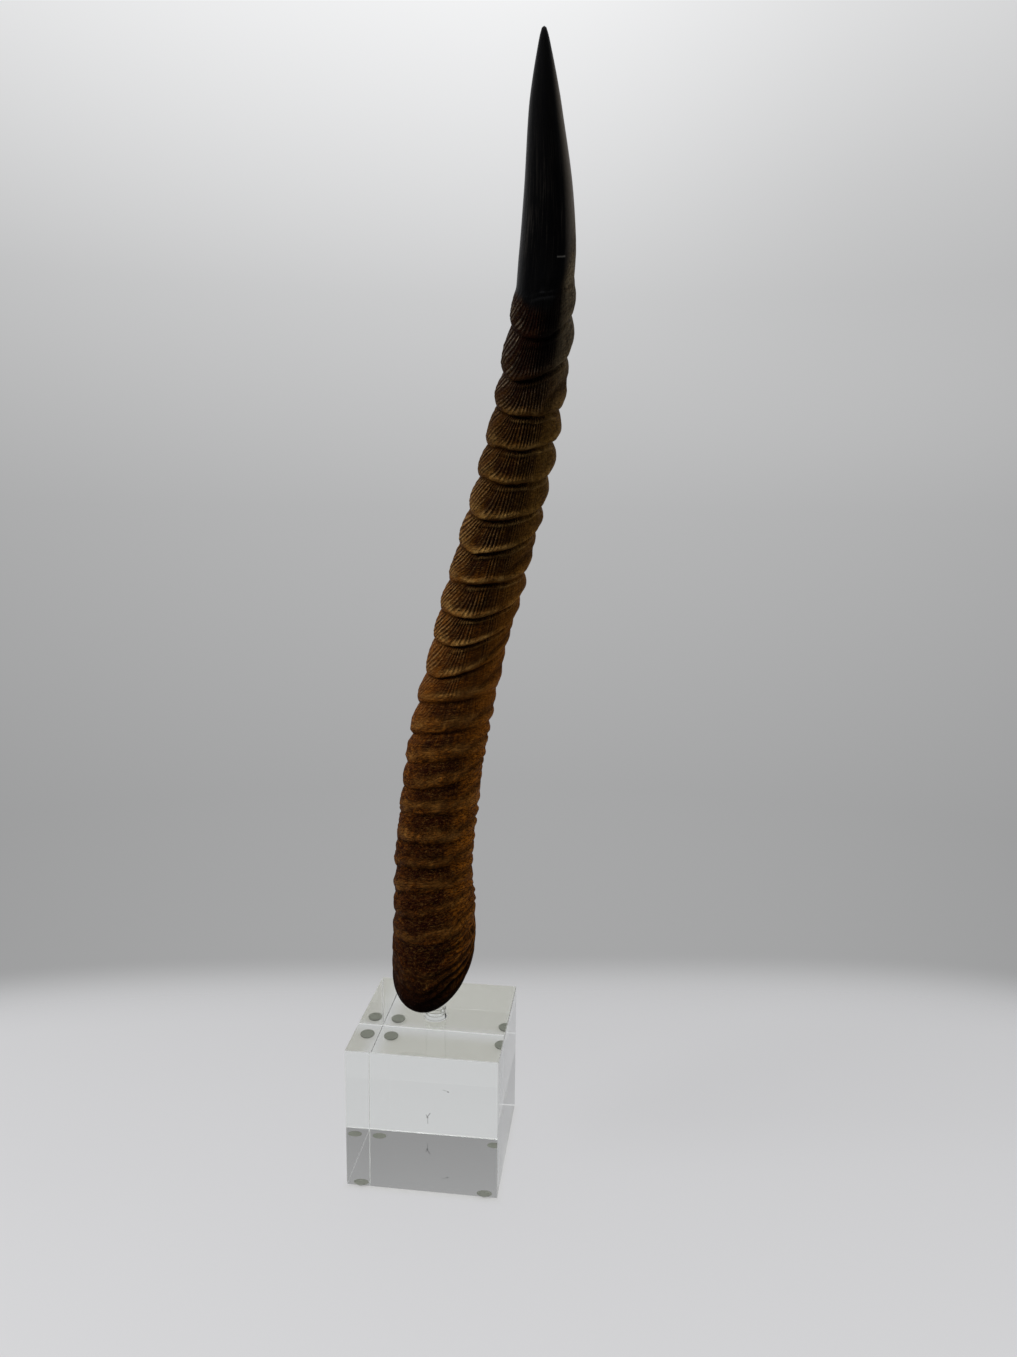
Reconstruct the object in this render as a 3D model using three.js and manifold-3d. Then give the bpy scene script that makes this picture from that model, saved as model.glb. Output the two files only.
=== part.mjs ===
// An impala horn on a clear acrylic stand: the horn, a peg, a block and four stick-on pads.
// Millimetres, +Z up. The horn grew as one piece, so it is one solid.

import * as THREE from 'three';
import { mergeVertices } from 'three/addons/utils/BufferGeometryUtils.js';
import Module from 'manifold-3d';

// Driving dimensions

const blockWidth = 76.2; // three inches each way
const blockHeight = 73;
const blockChamfer = 0.5;
const padDiameter = 8;
const padThickness = 1.2;
const padInsetSide = 6.8; // from a side edge of the block to a pad's centre
const padInsetFront = 4.6;
const padInsetBack = 8.8;
const pegDiameter = 11;
const pegHoleDepth = 12; // how deep the peg goes into the block
const pegLength = 72;
const gap = 0.3; // between any two pieces that meet

const hornTurn = 11; // degrees, the horn's own front is turned this far on its peg
const hornSides = 26;

// The horn's axis, by height above the table: how far right, and how far forward, it has moved
const axisRight = [
  [100, -1.5], [125, -0.9], [150, -1.6], [190, 1.6], [230, 7.5], [270, 15.9], [310, 25.6],
  [350, 35], [390, 42.3], [430, 46.3], [460, 45.6], [490, 42.9], [516.5, 41.3],
];
const axisForward = [
  [100, -2.4], [150, -6], [190, -7.8], [230, -7.3], [270, -2], [310, 7],
  [350, 18.5], [390, 31.5], [430, 45], [460, 54.6], [490, 62.6], [516.5, 69],
];
const meanRadius = [
  [100, 20.9], [125, 21.3], [150, 20], [190, 19.7], [230, 19.1], [270, 18.2], [310, 17.6],
  [350, 16.3], [390, 14.6], [430, 12.2], [460, 10.1], [490, 6.4], [500, 4.6], [510, 2.4], [516.5, 0.9],
];

// The grooves between the rings, from the base up, and how deep they are
const grooves = [
  126, 136, 146, 159, 173, 187, 202, 214, 229, 246, 264,
  281, 293, 306, 324, 338, 352, 366, 381, 400, 416, 430,
];
const grooveDepth = [
  [105, 0.2], [126, 0.9], [160, 1], [190, 1.2], [230, 1.9], [270, 2.3], [350, 2.5], [400, 2.3],
  [430, 1.1], [440, 0],
];
// Rings aren't square to the axis: height gained per millimetre forward, and to the right
const slopeForward = [
  [105, -0.95], [117, -0.5], [136, -0.05], [190, 0], [246, 0.08], [281, -0.2], [338, -0.12],
  [381, -0.12], [416, -0.42], [450, -0.2], [516.5, 0],
];
const slopeRight = [
  [105, 0.37], [126, 0.22], [150, 0.18], [190, 0.27], [229, 0.38], [265, 0.58], [293, 0.46],
  [350, 0.24], [381, 0.2], [400, 0.36], [430, 0.25], [516.5, 0],
];

// A ring's outline: 0 and 1 are the grooves below and above it, and these are its rows of points
const ringRows = [0, 0.1, 0.24, 0.5, 0.78];
const ringSag = 1.3; // above 1, the ring is fattest below its middle
const ringFullness = 0.55; // below 1, the ring is flat on its outside
const ringMean = 0.7; // share of a ring's relief that lies inside the mean radius

// The end of the horn that was cut: its rim's middle, and how far the end bulges below the rim
const rimHeight = 105;
const rimRound = 3;
const endBulge = 3;
const endRows = [0.35, 0.7]; // shares of the flat end's radius
const lipHeight = 3; // smooth lip between the rim's rounding and the first ring

const tipRows = 14; // rows of points on the smooth tip
const tipCrowding = 1.4; // above 1, the rows draw together towards the point

const blockBottom = padThickness + gap;
const blockTop = blockBottom + blockHeight;
const tau = 2 * Math.PI;

// Value at a height, on a smooth curve through [height, value] pairs
function along(pairs, height) {
  const last = pairs.length - 1;
  const at = THREE.MathUtils.clamp(height, pairs[0][0], pairs[last][0]);
  let i = 0;
  while (i < last - 1 && at > pairs[i + 1][0]) {
    i += 1;
  }
  const slope = (k) => {
    const [h0, v0] = pairs[Math.max(k - 1, 0)];
    const [h1, v1] = pairs[Math.min(k + 1, last)];
    return (v1 - v0) / (h1 - h0);
  };
  const [h0, v0] = pairs[i];
  const [h1, v1] = pairs[i + 1];
  const step = h1 - h0;
  const t = (at - h0) / step;
  const a = (1 + 2 * t) * (1 - t) ** 2;
  const b = t * (1 - t) ** 2;
  const c = t * t * (3 - 2 * t);
  const d = t * t * (t - 1);
  return a * v0 + b * step * slope(i) + c * v1 + d * step * slope(i + 1);
}

// Geometry with only positions, shared vertices merged and no collapsed triangles
function closedGeometry(source) {
  const bare = source.clone();
  bare.deleteAttribute('normal');
  bare.deleteAttribute('uv');
  const merged = mergeVertices(bare);
  const index = [];
  for (let i = 0; i < merged.index.count; i += 3) {
    const [a, b, c] = [0, 1, 2].map((k) => merged.index.getX(i + k));
    if (a !== b && b !== c && c !== a) {
      index.push(a, b, c);
    }
  }
  merged.setIndex(index);
  return merged;
}

const wasm = await Module();
wasm.setup();

function toSolid(geometry) {
  const closed = closedGeometry(geometry);
  return new wasm.Manifold(new wasm.Mesh({
    numProp: 3,
    vertProperties: new Float32Array(closed.attributes.position.array),
    triVerts: new Uint32Array(closed.index.array),
  }));
}

function toGeometry(solid) {
  const mesh = solid.getMesh();
  const geometry = new THREE.BufferGeometry();
  geometry.setAttribute('position', new THREE.BufferAttribute(mesh.vertProperties, 3));
  geometry.setIndex(new THREE.BufferAttribute(mesh.triVerts, 1));
  return geometry;
}

// A round bar standing on z = bottom
function uprightBar(diameter, bottom, top, sides = 32) {
  const bar = new THREE.CylinderGeometry(diameter / 2, diameter / 2, top - bottom, sides);
  bar.rotateX(Math.PI / 2);
  bar.translate(0, 0, (bottom + top) / 2);
  return bar;
}

// Half the horn's outline: x is the distance from the axis, y the height on the axis
function hornOutline() {
  const points = [new THREE.Vector2(0, rimHeight - endBulge)];
  const flat = along(meanRadius, rimHeight) - rimRound;
  for (const share of endRows) {
    const dip = endBulge * (1 - share ** 2);
    points.push(new THREE.Vector2(flat * share, rimHeight - dip));
  }
  const rimSteps = 3;
  for (let k = 0; k <= rimSteps; k += 1) {
    const angle = (k / rimSteps) * tau / 4;
    const height = rimHeight + rimRound * (1 - Math.cos(angle));
    points.push(new THREE.Vector2(flat + rimRound * Math.sin(angle), height));
  }
  const edges = [rimHeight + rimRound + lipHeight, ...grooves];
  for (let k = 1; k < edges.length; k += 1) {
    for (const row of ringRows) {
      const height = THREE.MathUtils.lerp(edges[k - 1], edges[k], row);
      const swell = Math.sin(Math.PI * (1 - row) ** ringSag) ** ringFullness;
      const relief = along(grooveDepth, height) * (swell - ringMean);
      points.push(new THREE.Vector2(along(meanRadius, height) + relief, height));
    }
  }
  const topGroove = grooves[grooves.length - 1];
  const [tip, tipRadius] = meanRadius[meanRadius.length - 1];
  for (let k = 0; k < tipRows; k += 1) {
    const height = THREE.MathUtils.lerp(topGroove, tip, 1 - (1 - k / tipRows) ** tipCrowding);
    points.push(new THREE.Vector2(along(meanRadius, height), height));
  }
  points.push(new THREE.Vector2(tipRadius, tip));
  points.push(new THREE.Vector2(0, tip + tipRadius));
  return points;
}

function axisPoint(height) {
  return new THREE.Vector3(along(axisRight, height), -along(axisForward, height), height);
}

// Where a point of the straight, round outline lies on the curved horn
function bend(radius, height, angle) {
  const front = Math.cos(angle);
  const right = Math.sin(angle);
  const shift = radius * (along(slopeForward, height) * front + along(slopeRight, height) * right);
  const at = height + shift;
  const tangent = axisPoint(at + 1).sub(axisPoint(at - 1)).normalize();
  const forward = new THREE.Vector3(0, -1, 0);
  forward.addScaledVector(tangent, -forward.dot(tangent)).normalize();
  const sideways = new THREE.Vector3().crossVectors(forward, tangent).negate();
  return axisPoint(at).addScaledVector(forward, radius * front).addScaledVector(sideways, radius * right);
}

function hornGeometry() {
  const outline = hornOutline();
  const lathe = new THREE.LatheGeometry(outline, hornSides);
  const position = lathe.attributes.position;
  for (let side = 0; side <= hornSides; side += 1) {
    const angle = tau * (side % hornSides) / hornSides;
    outline.forEach((point, row) => {
      const { x, y, z } = bend(point.x, point.y, angle);
      position.setXYZ(side * outline.length + row, x, y, z);
    });
  }
  return lathe;
}

const pegBottom = blockTop - pegHoleDepth + gap;
const pegTop = pegBottom + pegLength;

function makeHorn() {
  const socket = uprightBar(pegDiameter + 2 * gap, blockTop, pegTop + gap);
  return toGeometry(toSolid(hornGeometry()).subtract(toSolid(socket)));
}

function makeBlock() {
  const side = blockWidth / 2 - blockChamfer; // the bevel adds the chamfer all round
  const corner = side - blockChamfer;
  const outline = new THREE.Shape([
    new THREE.Vector2(side, -corner),
    new THREE.Vector2(side, corner),
    new THREE.Vector2(corner, side),
    new THREE.Vector2(-corner, side),
    new THREE.Vector2(-side, corner),
    new THREE.Vector2(-side, -corner),
    new THREE.Vector2(-corner, -side),
    new THREE.Vector2(corner, -side),
  ]);
  const body = new THREE.ExtrudeGeometry(outline, {
    depth: blockHeight - 2 * blockChamfer,
    bevelEnabled: true,
    bevelThickness: blockChamfer,
    bevelSize: blockChamfer,
    bevelSegments: 1,
  });
  body.translate(0, 0, blockBottom + blockChamfer);
  const hole = uprightBar(pegDiameter + 2 * gap, blockTop - pegHoleDepth, blockTop + 1);
  return toGeometry(toSolid(body).subtract(toSolid(hole)));
}

function piece(name, geometry, color, roughness) {
  const material = new THREE.MeshStandardMaterial({ color, roughness, metalness: 0 });
  const mesh = new THREE.Mesh(geometry, material);
  mesh.name = name;
  return mesh;
}

const stand = new THREE.Group();
stand.add(piece('acrylic_block', makeBlock(), '#e4e8e4', 0.05));
stand.add(piece('mounting_peg', uprightBar(pegDiameter, pegBottom, pegTop), '#e4e8e4', 0.05));

const padSide = blockWidth / 2 - padInsetSide;
const padFront = padInsetFront - blockWidth / 2;
const padBack = blockWidth / 2 - padInsetBack;
const padPlaces = {
  front_left_pad: [-padSide, padFront],
  front_right_pad: [padSide, padFront],
  back_left_pad: [-padSide, padBack],
  back_right_pad: [padSide, padBack],
};
for (const [name, [x, y]] of Object.entries(padPlaces)) {
  const pad = piece(name, uprightBar(padDiameter, 0, padThickness, 24), '#6c6f66', 0.95);
  pad.position.set(x, y, 0);
  stand.add(pad);
}

const onPeg = new THREE.Group();
onPeg.rotation.z = THREE.MathUtils.degToRad(hornTurn);
onPeg.add(piece('horn', makeHorn(), '#3a2612', 0.45));
stand.add(onPeg);

// The origin is on the table, under the middle of the whole object's box
const reach = new THREE.Box3().setFromObject(stand, true);
stand.position.set(-(reach.min.x + reach.max.x) / 2, -(reach.min.y + reach.max.y) / 2, 0);

const mountedHorn = new THREE.Group();
mountedHorn.add(stand);

export default mountedHorn;
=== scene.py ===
import math
from types import SimpleNamespace

import bmesh
import bpy
import numpy as np
from mathutils import Matrix, Vector


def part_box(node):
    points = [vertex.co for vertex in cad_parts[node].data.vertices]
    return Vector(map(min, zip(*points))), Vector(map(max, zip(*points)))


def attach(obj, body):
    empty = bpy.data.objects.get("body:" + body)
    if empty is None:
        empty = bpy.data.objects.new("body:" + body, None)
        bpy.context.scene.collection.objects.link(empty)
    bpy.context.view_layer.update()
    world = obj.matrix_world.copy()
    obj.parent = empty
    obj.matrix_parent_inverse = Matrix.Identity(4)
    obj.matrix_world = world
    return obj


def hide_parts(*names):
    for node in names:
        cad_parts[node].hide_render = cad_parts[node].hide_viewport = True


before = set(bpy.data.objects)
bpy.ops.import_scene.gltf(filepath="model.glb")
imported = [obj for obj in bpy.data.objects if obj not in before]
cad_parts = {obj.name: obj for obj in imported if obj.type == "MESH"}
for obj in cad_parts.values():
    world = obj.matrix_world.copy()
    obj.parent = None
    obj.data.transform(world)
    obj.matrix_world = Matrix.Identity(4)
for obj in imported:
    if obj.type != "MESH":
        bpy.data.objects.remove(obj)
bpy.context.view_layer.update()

MM = 0.001
block_low, block_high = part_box("acrylic_block")
peg_low, peg_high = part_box("mounting_peg")
CENTRE = Vector(((block_low.x + block_high.x) / 2, (block_low.y + block_high.y) / 2, 0))
TOP = block_high.z
BOTTOM = block_low.z
PEG_RADIUS = (peg_high.x - peg_low.x) / 2


# ---------------------------------------------------------------- camera

HEADING, TILT, ROLL = (math.radians(v) for v in (6.737, -9.982, 0.69))
FOCAL_PIXELS = 964.8
PHOTO_HEIGHT = 1357  # pixels
SENSOR = 36  # mm, along the photo's height
CAMERA_FROM_BLOCK = Vector((0.0903, -0.4588, 0.3349))  # from the middle of the block's underside


def set_camera():
    """The view's own heading, tilt and roll, from a place measured from the block."""
    look = Vector((-math.sin(HEADING) * math.cos(TILT), math.cos(HEADING) * math.cos(TILT), math.sin(TILT)))
    level = Vector((math.cos(HEADING), math.sin(HEADING), 0))
    upright = level.cross(look)
    right = math.cos(ROLL) * level + math.sin(ROLL) * upright
    up = -math.sin(ROLL) * level + math.cos(ROLL) * upright
    data = bpy.data.cameras.new("camera")
    data.sensor_width = SENSOR
    data.lens = SENSOR * FOCAL_PIXELS / PHOTO_HEIGHT
    data.clip_start = 0.01
    camera = bpy.data.objects.new("camera", data)
    turn = Matrix((right, up, -look)).transposed().to_4x4()
    place = CENTRE + Vector((0, 0, BOTTOM)) + CAMERA_FROM_BLOCK
    camera.matrix_world = Matrix.Translation(place) @ turn
    bpy.context.scene.collection.objects.link(camera)
    bpy.context.scene.camera = camera


set_camera()


# ---------------------------------------------------------------- node helpers

def new_material(name):
    """A new material, with its node tree, its shader and its output."""
    material = bpy.data.materials.new(name)
    material.use_nodes = True
    tree = material.node_tree
    return material, tree, tree.nodes["Principled BSDF"], tree.nodes["Material Output"]


def feed(tree, socket, value):
    """Sets a socket's value, or links an output to it."""
    if isinstance(value, bpy.types.NodeSocket):
        tree.links.new(value, socket)
    else:
        socket.default_value = value


def add(tree, kind, inputs=None, **settings):
    """Adds a node, with values or links for its inputs."""
    node = tree.nodes.new(kind)
    for key, value in settings.items():
        setattr(node, key, value)
    for key, value in (inputs or {}).items():
        feed(tree, node.inputs[key], value)
    return node


def maths(tree, operation, *values, clamp=False):
    inputs = dict(enumerate(values))
    return add(tree, "ShaderNodeMath", inputs, operation=operation, use_clamp=clamp).outputs[0]


def total(tree, a, b):
    return maths(tree, "ADD", a, b)


def product(tree, first, *others):
    for other in others:
        first = maths(tree, "MULTIPLY", first, other)
    return first


def rest(tree, share):
    """What a share leaves of 1."""
    return maths(tree, "SUBTRACT", 1.0, share)


def distance(tree, value, place):
    return maths(tree, "ABSOLUTE", maths(tree, "SUBTRACT", value, place))


def spread(tree, value, low, high, to_low=0.0, to_high=1.0, curve="SMOOTHSTEP"):
    """Maps low..high to to_low..to_high, smoothly and clamped."""
    inputs = {"Value": value, "From Min": low, "From Max": high, "To Min": to_low, "To Max": to_high}
    return add(tree, "ShaderNodeMapRange", inputs, interpolation_type=curve).outputs[0]


def by_mask(tree, mask, at_0, at_1):
    """A value that goes from at_0 to at_1 as a mask goes from 0 to 1."""
    return spread(tree, mask, 0.0, 1.0, at_0, at_1)


def blend(tree, share, a, b):
    """Colour a, with a share of colour b over it."""
    node = add(tree, "ShaderNodeMix", data_type="RGBA")
    feed(tree, node.inputs[0], share)
    for socket, value in ((node.inputs[6], a), (node.inputs[7], b)):
        feed(tree, socket, value if isinstance(value, bpy.types.NodeSocket) else colour(value))
    return node.outputs[2]


def colour(rgb):
    """A linear colour with alpha, from 0 to 255 display values."""
    def linear(v):
        v /= 255
        return v / 12.92 if v <= 0.04045 else ((v + 0.055) / 1.055) ** 2.4
    return (*(linear(v) for v in rgb), 1.0)


def noise(tree, vector, scales, detail=2.0, rough=0.5):
    """Noise from 0 to 1, on a vector multiplied by a scale for each axis."""
    scaled = add(tree, "ShaderNodeVectorMath", {0: vector, 1: scales}, operation="MULTIPLY").outputs[0]
    inputs = {"Vector": scaled, "Scale": 1.0, "Detail": detail, "Roughness": rough}
    return add(tree, "ShaderNodeTexNoise", inputs).outputs["Fac"]


def mesh_value(tree, name, output="Fac"):
    return add(tree, "ShaderNodeAttribute", attribute_name=name).outputs[output]


def coordinates(tree, kind="Object"):
    return add(tree, "ShaderNodeTexCoord").outputs[kind]


def apart(tree, vector):
    """The x, y and z of a vector."""
    return add(tree, "ShaderNodeSeparateXYZ", {0: vector}).outputs


def scratch(tree, x, z, start, end, width):
    """1 on a line from start to end in the x z plane, in mm, fading to 0 at width from it."""
    dx, dz = end[0] - start[0], end[1] - start[1]
    x, z = maths(tree, "SUBTRACT", x, start[0]), maths(tree, "SUBTRACT", z, start[1])
    share = total(tree, product(tree, x, dx), product(tree, z, dz))
    share = maths(tree, "DIVIDE", share, dx * dx + dz * dz, clamp=True)
    off_x = maths(tree, "SUBTRACT", x, product(tree, share, dx))
    off_z = maths(tree, "SUBTRACT", z, product(tree, share, dz))
    squares = total(tree, maths(tree, "POWER", off_x, 2.0), maths(tree, "POWER", off_z, 2.0))
    return spread(tree, maths(tree, "SQRT", squares), 0.3 * width, width, 1.0, 0.0)


# ---------------------------------------------------------------- the horn's shape, in mm

TURN = math.radians(11)
COLUMNS = 224
FRONT_CROWDING = 0.35  # above 0, the columns stand closer on the front
NOMINAL_RADIUS = 18  # of the straight, round horn that noise and colours are laid out on

# By height: how far right and how far forward the horn's axis lies, and how thick the horn is
AXIS_RIGHT = [
    (100, -1.4), (125, -0.6), (150, -1.2), (190, 2), (230, 8), (270, 16.4), (310, 26.1),
    (350, 35.5), (390, 42.3), (430, 46.05), (460, 45.55), (490, 42.9), (516.5, 41.3),
]
AXIS_FORWARD = [
    (100, -2.4), (150, -6), (190, -7.8), (230, -7.3), (270, -2), (310, 7),
    (350, 18.5), (390, 31.5), (430, 45), (460, 54.6), (490, 62.6), (516.5, 68.75),
]
MEAN_RADIUS = [
    (100, 20.9), (125, 21.3), (150, 20), (190, 19.7), (230, 19.1), (270, 18.2), (310, 17.6), (350, 16.3),
    (390, 14.7), (430, 12.5), (460, 10.1), (490, 6.45), (500, 4.65), (508, 2.9), (513, 1.7), (515.3, 0.9),
]

# Each groove: height, slope forward, slope right, and the place in the ring above it where a finer
# groove splits off on the right (0: none)
GROOVES = [
    (111, -0.72, 0.32, 0), (126, -0.25, 0.22, 0.5), (136, -0.05, 0.2, 0.45), (146, 0.06, 0.18, 0.5),
    (159, 0.02, 0.21, 0.48), (173, -0.05, 0.19, 0.5), (186, 0.07, 0.22, 0.62), (203.5, -0.1, 0.41, 0.45),
    (214, 0.06, 0.36, 0.48), (228.5, 0.11, 0.38, 0.47), (245, 0.13, 0.42, 0.53), (264.5, -0.16, 0.65, 0.48),
    (281, -0.26, 0.61, 0), (293, -0.2, 0.47, 0), (305.5, 0.0, 0.36, 0.5), (324.5, -0.22, 0.45, 0),
    (337.5, -0.14, 0.34, 0), (352, -0.08, 0.24, 0), (366, 0.0, 0.24, 0), (380.5, -0.1, 0.16, 0.5),
    (399.5, -0.28, 0.43, 0), (416, -0.45, 0.3, 0), (430, -0.2, 0.2, 0),
]
SLOPE_FORWARD = [(105, -0.95)] + [(g[0], g[1]) for g in GROOVES] + [(450, -0.1), (516.5, 0)]
SLOPE_RIGHT = [(105, 0.37)] + [(g[0], g[2]) for g in GROOVES] + [(450, 0.15), (516.5, 0)]
SPLITS = np.array([g[3] for g in GROOVES])

# How deep the grooves are, by height
DEPTH_LEFT = [
    (107, 0.3), (122, 1.2), (147, 1.8), (170, 1.6), (195, 2.1), (218, 1.6), (240, 3.2), (262, 3.1),
    (286, 1.7), (309, 2.1), (332, 2.2), (355, 2.3), (379, 2.8), (404, 3.2), (418, 2.2), (430, 0.9), (440, 0),
]
DEPTH_FRONT = [
    (107, 0.2), (126, 1.1), (160, 1.6), (190, 1.9), (230, 2.2), (252, 2.4), (300, 2.8), (390, 2.9),
    (416, 2.1), (430, 0.8), (440, 0),
]
DEPTH_RIGHT = [
    (107, 0.2), (122, 0.8), (147, 1.4), (170, 0.8), (195, 0.8), (218, 1.8), (240, 1.9), (262, 2.4),
    (286, 3.5), (309, 3.5), (332, 3.1), (355, 3.3), (379, 3.1), (404, 3.5), (418, 2.4), (430, 1.2), (440, 0),
]
DEPTH_BACK = [(107, 0.2), (126, 0.5), (250, 0.9), (350, 1.3), (400, 1.2), (430, 0.6), (440, 0)]
RING_MEAN = 0.7  # share of a ring's relief that lies inside the mean radius

# The outline of the upper rings' fronts, from the groove below to the one above: steep, then sloping
FRONT_PROFILE = [
    (0, 0), (0.04, 0.3), (0.08, 0.72), (0.12, 0.95), (0.16, 1), (0.2, 0.9), (0.25, 0.7), (0.33, 0.62),
    (0.5, 0.64), (0.65, 0.58), (0.74, 0.46), (0.8, 0.36), (0.85, 0.55), (0.885, 0.6), (0.92, 0.44),
    (0.96, 0.12), (1, 0),
]
LIP = 0.88  # place in the ring of the second lip, under the next ring's crest

# How light each ring's crest is, partly from wear and partly as painted highlight, from the lowest ring up
CREST_WEAR_AND_SHEEN = [
    0.2, 0.5, 0.45, 0.7, 0.75, 1, 0.95, 0.55, 0.85, 0.8, 0.9, 0.9,
    1, 0.9, 0.8, 1, 0.8, 1, 0.7, 0.4, 0.2, 0.15, 0,
]
RIDGES = 64  # fine ridges round the horn

RIM_HEIGHT, RIM_ROUND, END_BULGE = 105, 3, 3
END_SHARES = (0.1, 0.25, 0.4, 0.55, 0.68, 0.8, 0.9)
RIM_ROWS = 6
ABOVE_RIM = (108.75, 109.5, 110.25)
FIRST_RING_ROWS = 24
RING_ROWS = (
    0, 0.03, 0.06, 0.09, 0.12, 0.16, 0.2, 0.25, 0.33,
    0.43, 0.54, 0.65, 0.74, 0.8, 0.84, 0.88, 0.92, 0.96,
)
CREASES = (109, 112.4, 116.2, 120.6)
SHEATH_HEIGHT = 429  # the smooth tip starts here
TIP = 515.3
TIP_ROWS, TIP_CROWDING = 26, 1.4


def along(pairs, height):
    """Value at a height, on a smooth curve through (height, value) pairs."""
    heights, values = np.array(pairs, float).T
    last = len(heights) - 1
    at = np.clip(height, heights[0], heights[-1])
    i = np.clip(np.searchsorted(heights, at, "left") - 1, 0, last - 1)
    before, after = np.maximum(np.arange(last + 1) - 1, 0), np.minimum(np.arange(last + 1) + 1, last)
    slope = (values[after] - values[before]) / (heights[after] - heights[before])
    step = heights[i + 1] - heights[i]
    t = (at - heights[i]) / step
    return ((1 + 2 * t) * (1 - t) ** 2 * values[i] + t * (1 - t) ** 2 * step * slope[i]
            + t * t * (3 - 2 * t) * values[i + 1] + t * t * (t - 1) * step * slope[i + 1])


def smooth(x, low, high):
    t = np.clip((x - low) / (high - low), 0, 1)
    return t * t * (3 - 2 * t)


def bell(x, middle, width):
    """1 at the middle, falling to nothing about two widths from it."""
    return np.exp(-((x - middle) / width) ** 2)


TABLE_SIZE = 4096  # a power of two
PRIMES = (73856093, 19349663, 83492791)  # they turn a cell's x, y and z into a place in the table


def waves(points, seed):
    """Smooth noise from -1 to 1 at points (..., 3), one lump per unit."""
    table = np.random.default_rng(seed).uniform(-1, 1, TABLE_SIZE)
    cell = np.floor(points).astype(np.int64)
    part = points - cell
    part = part * part * (3 - 2 * part)
    heights = 0
    for corner in np.ndindex(2, 2, 2):
        x, y, z = ((cell[..., k] + corner[k]) * PRIMES[k] for k in range(3))
        key = (x ^ y ^ z) & (TABLE_SIZE - 1)
        weight = np.prod([part[..., k] if corner[k] else 1 - part[..., k] for k in range(3)], axis=0)
        heights = heights + table[key] * weight
    return heights


def round_horn(angle, height, across, lengthwise, seed):
    """Noise on the straightened horn, with lumps of these sizes in mm."""
    x, y = NOMINAL_RADIUS * np.cos(angle) / across, NOMINAL_RADIUS * np.sin(angle) / across
    return waves(np.stack([x, y, height / lengthwise], -1) + 50, seed)


def straightened(angle, height):
    """Where points lie on the straight, round horn."""
    return np.stack([NOMINAL_RADIUS * np.cos(angle), NOMINAL_RADIUS * np.sin(angle), height], -1)


def axis_point(height):
    return np.stack([along(AXIS_RIGHT, height), -along(AXIS_FORWARD, height), height], -1)


def bend(radius, height, angle, lift):
    """Where points of the straight, round horn lie on the curved one."""
    front, right = np.cos(angle), np.sin(angle)
    slope = along(SLOPE_FORWARD, height) * front + along(SLOPE_RIGHT, height) * right
    at = height + radius * slope + lift
    tangent = axis_point(at + 1) - axis_point(at - 1)
    tangent /= np.linalg.norm(tangent, axis=-1, keepdims=True)
    forward = np.array([0, -1.0, 0]) + tangent * tangent[..., 1:2]
    forward /= np.linalg.norm(forward, axis=-1, keepdims=True)
    sideways = -np.cross(forward, tangent)
    return axis_point(at) + forward * (radius * front)[..., None] + sideways * (radius * right)[..., None]


def horn_rows():
    """Each row of points round the horn: share, height, ring number (-1: none) and place in the ring.

    The share is under 1 on the cut end, from 1 to 2 on its rounded rim, and 2 above that."""
    rows = [(share, RIM_HEIGHT - END_BULGE * (1 - share ** 2), -1, 0) for share in END_SHARES]
    for turn in np.linspace(0, 1, RIM_ROWS):
        a = turn * math.pi / 2
        rows.append((1 + math.sin(a), RIM_HEIGHT + RIM_ROUND * (1 - math.cos(a)), -1, 0))
    rows += [(2, height, -1, 0) for height in ABOVE_RIM]
    for k in range(len(GROOVES) - 1):
        low, high = GROOVES[k][0], GROOVES[k + 1][0]
        places = RING_ROWS if k else np.linspace(0, 1, FIRST_RING_ROWS, endpoint=False)
        rows += [(2, low + t * (high - low), k, t) for t in places]
    start = GROOVES[-1][0]
    for k in range(TIP_ROWS):
        rows.append((2, start + (TIP - start) * (1 - (1 - k / TIP_ROWS) ** TIP_CROWDING), -1, 0))
    rows.append((2, TIP, -1, 0))
    return np.array(rows)


def surface_places():
    """Arrays (rows, columns) that say where on the horn each point of its surface is."""
    rows = horn_rows()
    even = (np.arange(COLUMNS) / COLUMNS - 0.5) * 2 * math.pi
    angles = even - FRONT_CROWDING * np.sin(even)
    share, height, ring, t = (np.repeat(rows[:, k:k + 1], COLUMNS, 1) for k in range(4))
    angle = np.repeat(angles[None, :], len(rows), 0)
    front, right = np.cos(angle), np.sin(angle)
    low = smooth(height, 105, 110) * (1 - smooth(height, 185, 270))
    of_left, of_right = np.maximum(-right, 0) ** 2, np.maximum(right, 0) ** 2
    of_front, of_back = np.maximum(front, 0) ** 2, np.maximum(-front, 0) ** 2
    number = ring.astype(int).clip(0)
    return SimpleNamespace(
        share=share, height=height, t=t, angle=angle, front=front, right=right, low=low, number=number,
        in_ring=ring >= 0, of_left=of_left, of_right=of_right, of_front=of_front, of_back=of_back)


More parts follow.
